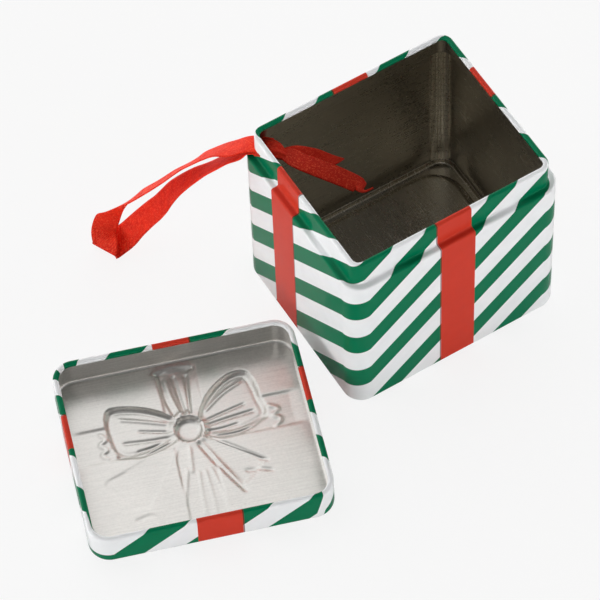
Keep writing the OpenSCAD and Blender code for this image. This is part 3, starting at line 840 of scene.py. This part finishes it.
# Pressed bow, in millimetres from its knot, which lies behind the panel's middle
bow = {
    "knot": (0, 6.6), "knotRadius": 3.7, "height": 1.8, "edge": 2.4,
    # Heights, as shares of the bow's own unless in millimetres, and how far each edge takes to rise
    "bandRise": 0.3, "bandEdge": 0.9, "loopRise": 0.66, "rim": (0.28, 1.1, 0.6),
    "tabRise": 0.5, "tabEdge": 1.4, "tailRises": (0.06, 0.3), "tailEdge": 1.6,
    "foldRise": 0.45, "foldWidth": 0.95,
    # Flattened near the knot, which is round
    "gatherRise": 0.35, "gatherEdge": 2.2, "knotSlope": 0.92,
    # Points between those of an outline or a fold; outlines of few points stay angular
    "outlineSteps": 8, "foldSteps": 6, "angularUpTo": 6,
    "leftLoop": [(-2.2, 3.2), (-6.5, 7), (-12.5, 9.8), (-19, 10.8), (-21.2, 8.1), (-21.5, 3), (-19.9, -3.6),
                 (-13.5, -5), (-6.4, -2.9), (-3.2, -2.1)],
    "rightLoop": [(3.6, 4.4), (7.6, 10), (13, 13.9), (17.6, 14.4), (19.7, 11.5), (20.7, 5.9), (21.2, -0.1),
                  (14.7, -3.1), (8.4, -3.4), (3.2, -2.1)],
    "tab": [(-5.4, 19.3), (4, 18.9), (1.6, 5.6), (-3, 4.8)],
    "leftTail": [(-3.2, -2.8), (-19.4, -9), (-25.5, -11.6), (-20, -16.8), (-15.2, -22.6), (-4.3, -6)],
    "rightTail": [(2.1, -4.7), (10.5, -20.8), (14.2, -18.1), (17.8, -13.8), (3.4, -3.2)],
    # Folds: depth, width, then the points of the line
    "folds": [
        (1.5, 0.7, [(-3.4, -2.4), (-8, -3.9), (-13.5, -5.4), (-19.4, -4.4)]),
        (1.5, 0.7, [(3.4, -2.5), (8.4, -3.9), (14.7, -3.6), (20.6, -0.8)]),
        (0.5, 0.5, [(-4.6, 0.6), (-8, 1.4), (-12.6, 2.6)]),
        (0.6, 0.6, [(-4, -1.0), (-10, -0.9), (-17.3, -0.2)]),
        (0.5, 0.5, [(-4.2, -2.2), (-9, -2.9), (-14.1, -3.4)]),
        (-0.5, 0.6, [(-6, 3.4), (-12, 5.6), (-17, 7.2)]),
        (0.5, 0.5, [(5, 1.9), (10, 3.2), (15.8, 4.6)]),
        (0.6, 0.6, [(5, 0.4), (11, 1.2), (17.8, 2.0)]),
        (0.5, 0.5, [(4.9, -1.4), (9, -1.5), (13, -1.0)]),
        (-0.5, 0.6, [(5.6, 5), (11, 9), (16, 11.4)]),
        (1.3, 0.5, [(-4.6, 17.4), (-4.2, 11), (-3.0, 5)]),
        (-1.1, 0.5, [(-3.2, 16), (-2.4, 10), (-1.2, 4.9)]),
        (1.3, 0.5, [(-0.9, 17), (-0.4, 11), (0.1, 4.9)]),
        (1.2, 0.5, [(2.6, 16.6), (2.2, 11), (1.5, 5)]),
        (1.2, 0.7, [(-5.6, 18.4), (-1, 19.4), (4.2, 18.6)]),
        (-0.4, 0.6, [(-4.7, -6.4), (-6.2, -11), (-7.6, -16)]),
        (-0.5, 0.7, [(-1, -6), (-1.4, -9.5), (-1.8, -13)]),
        (-0.5, 0.6, [(-3, -12.5), (-5, -20), (-7.2, -28)]),
        (-0.35, 0.5, [(-0.1, -14), (-0.6, -20), (-0.9, -26.5)]),
        (-0.35, 0.5, [(1.7, -14), (1.9, -20), (1.9, -27)]),
        (-0.35, 0.5, [(3.4, -13.6), (4.6, -20), (5.4, -27)]),
        (0.9, 0.7, [(1.8, -5.2), (4.7, -11.4), (10.7, -22)]),
        (0.6, 0.6, [(4.4, -3.6), (11, -8.6), (18, -14.2)]),
        (0.5, 0.6, [(12.6, -16.2), (15.6, -16.6), (18.7, -17.6)]),
        (0.2, 0.6, [(-24, -11.2), (-21.5, -10.6), (-19.2, -10)]),
        (0.4, 0.6, [(-24.6, -12.6), (-21.5, -16.8), (-18.3, -20.6)]),
        (0.4, 0.6, [(-19, -24.8), (-14.7, -24.2), (-12.2, -27.4)]),
        (-1.2, 0.45, [(-23.4, 3.4), (-22.2, 1.7), (-24, 0.2), (-22.4, -1.5), (-24, -2.8), (-22.8, -4.4)]),
        (-1.2, 0.45, [(22.4, 1.9), (24.4, 0.4), (22.8, -1.2), (24.6, -2.8), (22.8, -4.6)]),
    ],
}


def smoothLine(points, steps, closed=False):
    points = np.array(points, float)
    count = len(points)
    padded = (np.vstack([points[-1:], points, points[:2]]) if closed
              else np.vstack([2 * points[0] - points[1], points, 2 * points[-1] - points[-2]]))
    shares = (np.arange(steps) / steps)[:, None]
    out = [spline(padded[i:i + 4], shares) for i in range(count if closed else count - 1)]
    return np.vstack(out + ([] if closed else [points[-1:]]))


def distanceTo(points, line, closed=False):
    # Distance from each point to a line of segments
    ends = np.roll(line, -1, axis=0) if closed else line[1:]
    starts = line if closed else line[:-1]
    best = np.full(len(points), 1e9)
    for a, b in zip(starts, ends):
        way = b - a
        share = np.clip((points - a) @ way / (way @ way), 0, 1)
        best = np.minimum(best, np.linalg.norm(points - a - share[:, None] * way, axis=1))
    return best


def within(points, outline):
    inside = np.zeros(len(points), bool)
    for a, b in zip(outline, np.roll(outline, -1, axis=0)):
        if a[1] == b[1]:
            continue
        crosses = (a[1] > points[:, 1]) != (b[1] > points[:, 1])
        inside ^= crosses & (points[:, 0] < (b[0] - a[0]) * (points[:, 1] - a[1]) / (b[1] - a[1]) + a[0])
    return inside


def pillow(points, outline, edge):
    # 0 outside an outline, rising to 1 over the width of its edge inside it
    angular = len(outline) <= bow["angularUpTo"]
    outline = np.array(outline, float) if angular else smoothLine(outline, bow["outlineSteps"], True)
    depth = np.where(within(points, outline), distanceTo(points, outline, True), 0)
    share = np.clip(depth / edge, 0, 1)
    return np.sqrt(1 - (1 - share) ** 2), depth


def step(value, width):
    share = np.clip(value / width + 0.5, 0, 1)
    return share * share * (3 - 2 * share)


def relief(points):
    # Height of the pressing at places on the panel, measured from the knot
    full = bow["height"]
    outward = np.linalg.norm(points, axis=1)
    rise, middle, spread = bow["rim"]
    heights = [bow["bandRise"] * step(printing["bandHalf"] - np.abs(axis), bow["bandEdge"])
               for axis in points.T]
    for name in ("leftLoop", "rightLoop"):
        share, depth = pillow(points, bow[name], bow["edge"])
        rim = rise * np.exp(-((depth - middle) / spread) ** 2) * (depth > 0)
        heights.append(share * bow["loopRise"] * full + rim)
    flaps = [("tab", bow["tabRise"], bow["tabEdge"])]
    flaps += [(name, share, bow["tailEdge"])
              for name, share in zip(("leftTail", "rightTail"), bow["tailRises"])]
    heights += [share * pillow(points, bow[name], edge)[0] * full for name, share, edge in flaps]
    height = np.maximum.reduce(heights)
    for depth, width, line in bow["folds"]:
        near = distanceTo(points, smoothLine(line, bow["foldSteps"]))
        height = height + bow["foldRise"] * depth * np.exp(-(near / width / bow["foldWidth"]) ** 2)
    gather = np.clip((outward - bow["knotRadius"]) / bow["gatherEdge"], 0, 1)
    height = height * (bow["gatherRise"] + (1 - bow["gatherRise"]) * gather)
    share = np.clip(2 - 2 * outward / bow["knotRadius"] * bow["knotSlope"], 0, 1)
    knot = np.sqrt(1 - (1 - share) ** 2) * full
    return np.clip(np.maximum(height, knot), 0, full)


def sectionOfLid(o):
    e, c = lid["edge"], lid["curl"] / 2
    return np.vstack([arc([e, e], e - o, 270, 180, lid["edgeSteps"]),
                      arc([c, lid["height"] - c], c - o, 180, -90, lid["curlSteps"])])


lidPrint = printMaterial("stripedLid", centre=lid["place"], turn=lid["turn"], sideBand=bow["knot"][1],
                         start=-26.2, period=18.5, greenShare=0.5, lineSide=1, frontBand=(-4.7, 7.4),
                         backBand=(-5.1, 4.9))
lidTin = tinplate("brushedTinplate", (0.84, 0.82, 0.785), 0.34, (90, 2400, 2400), turn=lid["turn"])


def makeLid():
    places, ways, around = roundedRail(lid["width"], lid["depth"], lid["corner"], 1, lid["cornerSteps"],
                                       lid["sideSteps"])
    around = np.interp(around, *zip(*lid["drawn"]))
    places, ways = places[:-1], ways[:-1]
    count = len(places)
    knot = np.array(bow["knot"])
    outer, inner = sectionOfLid(0), sectionOfLid(lid["sheet"])
    lengths = np.concatenate([[0], np.cumsum(pathSteps(outer))])
    lengths = lengths - lengths[lid["edgeSteps"]] + outer[lid["edgeSteps"], 1]
    shares = np.arange(1, lid["rings"]) / lid["rings"]
    panel = [knot + (places + ways * lid["edge"] - knot) * share for share in shares]
    rises = relief(np.vstack(panel) - knot).reshape(len(panel), count)
    rises = rises * np.clip((1 - shares) * lid["fade"], 0, 1)[:, None]
    # Rings from the middle of the outer face, over the rim, to the middle of the inner face
    pressed = [(place, lid["panelUp"] - rise) for place, rise in zip(panel, rises)]
    rolled = [(places + ways * d, np.full(count, lid["panelUp"] + z))
              for d, z in np.vstack([outer, inner[::-1]])]
    backs = [(place, up + lid["sheet"]) for place, up in pressed[::-1]]
    points, faces = loftRings([np.column_stack(ring) for ring in pressed + rolled + backs])
    middle, lastRing = len(points), len(points) - count
    top = lid["panelUp"] - bow["height"]
    points = np.vstack([points, [[*knot, top], [*knot, top + lid["sheet"]]]])
    # The skirt's outer face has the drawn print, the rest of the sheet a flat one
    first, last = len(panel), len(panel) + len(outer) - 1
    slots = [int(index // count >= last) for index in range(len(faces))] + [0] * count + [1] * count
    after = [(k + 1) % count for k in range(count)]
    faces += [(middle, after[k], k) for k in range(count)]
    faces += [(middle + 1, lastRing + k, lastRing + after[k]) for k in range(count)]
    flat = (points[:, :2] * (1, -1) - (0, lid["depth"] / 2)).tolist()
    uv = []
    for index, face in enumerate(faces):
        j, k = divmod(index, count)
        marks = [flat[corner] for corner in face]
        if first <= j < last:
            low, high = lengths[j - first:j - first + 2]
            marks = [(around[k], low), (around[k + 1], low), (around[k + 1], high), (around[k], high)]
        uv += marks[::-1]
    turn = radians(lid["turn"])
    spin = np.array([[cos(turn), -sin(turn), 0], [sin(turn), cos(turn), 0], [0, 0, 1]])
    points = points @ spin.T + np.array(lid["place"])
    faces = [face[::-1] for face in faces]
    return makePiece("lidShell", points, faces, "lid", lidPrint, lidTin, uv=uv, slots=slots)


lidShell = makeLid()
settle(lidShell, "bare_tinplate", "lid")
print("stage: lid, faces", len(lidShell.data.polygons))


# Studio: pale floor, a sky that is bright behind the object and dim in front, and soft lamps
studio = {
    "floor": (0.93, 0.93, 0.93), "floorShown": 0.85, "floorRough": 0.9, "floorGloss": 0.1, "floorHalf": 4000,
    "floorDown": 0.3,
    # The sky's strength: dim high up in front, bright behind from these shares of its way back, and low down
    "dim": 0.14, "bright": 1.0, "behind": (-0.12, 0.34), "low": 4.0, "lowDown": (0.3, 0.1),
    "lamps": [((-430, -560, 1000), 80, 0.22)],  # place, size and power
}


def seenBehind(tree, throughGlass):
    # 1 where the camera looks at the backdrop itself
    path = tree.nodes.new("ShaderNodeLightPath")
    seen = path.outputs["Is Camera Ray"]
    return calc(tree, "MAXIMUM", seen, path.outputs["Is Transmission Ray"]) if throughGlass else seen


def makeFloor():
    material, tree, shader = newMaterial("paleFloor")
    setShader(tree, shader, BaseColor=studio["floor"], Roughness=studio["floorRough"],
              SpecularIORLevel=studio["floorGloss"])
    white = addNode(tree, "ShaderNodeEmission", Strength=1.0)
    shown = calc(tree, "MULTIPLY", seenBehind(tree, False), studio["floorShown"])
    mix = addNode(tree, "ShaderNodeMixShader", shown, shader.outputs[0], white.outputs[0])
    wire(tree, tree.nodes["Material Output"].inputs["Surface"], mix.outputs[0])
    mesh = bpy.data.meshes.new("studioFloor")
    corners = np.array([(-1, -1), (1, -1), (1, 1), (-1, 1)]) * studio["floorHalf"]
    mesh.from_pydata([(x * mm, y * mm, -studio["floorDown"] * mm) for x, y in corners], [], [(0, 1, 2, 3)])
    mesh.materials.append(material)
    floor = addObject("studioFloor", mesh)


def makeSky():
    world = bpy.data.worlds.new("softStudio")
    world.use_nodes = True
    bpy.context.scene.world = world
    tree = world.node_tree
    way = separate(tree, tree.nodes.new("ShaderNodeTexCoord").outputs["Generated"])
    behind = remap(tree, way[1], studio["behind"], (studio["dim"], studio["bright"]), smooth=True)
    low = remap(tree, way[2], studio["lowDown"], (studio["dim"], studio["low"]), smooth=True)
    strength = addNode(tree, "ShaderNodeMix")
    for index, value in ((0, seenBehind(tree, True)), (2, calc(tree, "MAXIMUM", behind, low)), (3, 1)):
        wire(tree, strength.inputs[index], value)
    background = tree.nodes["Background"]
    wire(tree, background.inputs["Color"], (1, 1, 1))
    wire(tree, background.inputs["Strength"], strength.outputs[0])


def makeLamps():
    for i, (place, size, power) in enumerate(studio["lamps"]):
        light = bpy.data.lights.new("softLamp%d" % i, "AREA")
        light.size = size * mm
        light.energy = power
        lamp = addObject("softLamp%d" % i, light)
        lamp.location = Vector(place) * mm
        lamp.rotation_euler = (-Vector(place)).to_track_quat("-Z", "Y").to_euler()


makeFloor()
makeSky()
makeLamps()
bpy.context.scene.view_settings.view_transform = "Standard"
print("stage: studio")
